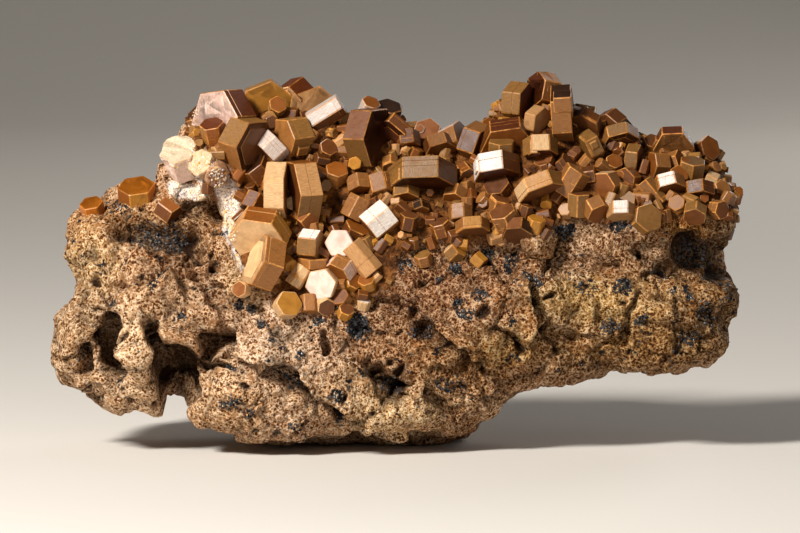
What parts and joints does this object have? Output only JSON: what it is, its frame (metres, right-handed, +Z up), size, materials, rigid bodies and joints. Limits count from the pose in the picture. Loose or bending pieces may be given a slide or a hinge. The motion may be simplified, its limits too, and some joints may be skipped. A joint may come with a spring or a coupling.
{
  "type": "mineral specimen",
  "caption": "Vanadinite on matrix: a jagged crust of orange-brown six-sided crystals along the top and front of a loose, porous tan rock.",
  "frame": {"origin": "bottom centre of the specimen's box, on the plane the rock rests on", "axes": "+X along the longest extent towards the end with the small crowded crystals, -Y out of the crystal-covered front face, +Z up"},
  "size_m": [0.1194, 0.0508, 0.0649],
  "materials": {
    "rock": "dull porous limonite rock, tan to brown with black manganese specks",
    "vanadinite": "resinous to glassy orange-brown crystal",
    "vanadinite_left_end": "resinous orange crystal",
    "vanadinite_left_shoulder": "resinous orange crystal",
    "vanadinite_broken_rim": "broken, frosted pale crystal",
    "vanadinite_below_crust": "resinous orange crystal",
    "vanadinite_low_pair_left": "resinous orange crystal",
    "vanadinite_low_pair_right": "resinous orange crystal",
    "vanadinite_flat_on_face": "resinous orange crystal"
  },
  "bodies": {
    "root": {"matrix": "rock", "crystal_crust": "vanadinite", "crystal_left_end": "vanadinite_left_end", "crystal_left_shoulder": "vanadinite_left_shoulder", "crystal_broken_rim": "vanadinite_broken_rim", "crystal_below_crust": "vanadinite_below_crust", "crystal_low_pair_left": "vanadinite_low_pair_left", "crystal_low_pair_right": "vanadinite_low_pair_right", "crystal_flat_on_face": "vanadinite_flat_on_face"}
  },
  "joints": []
}
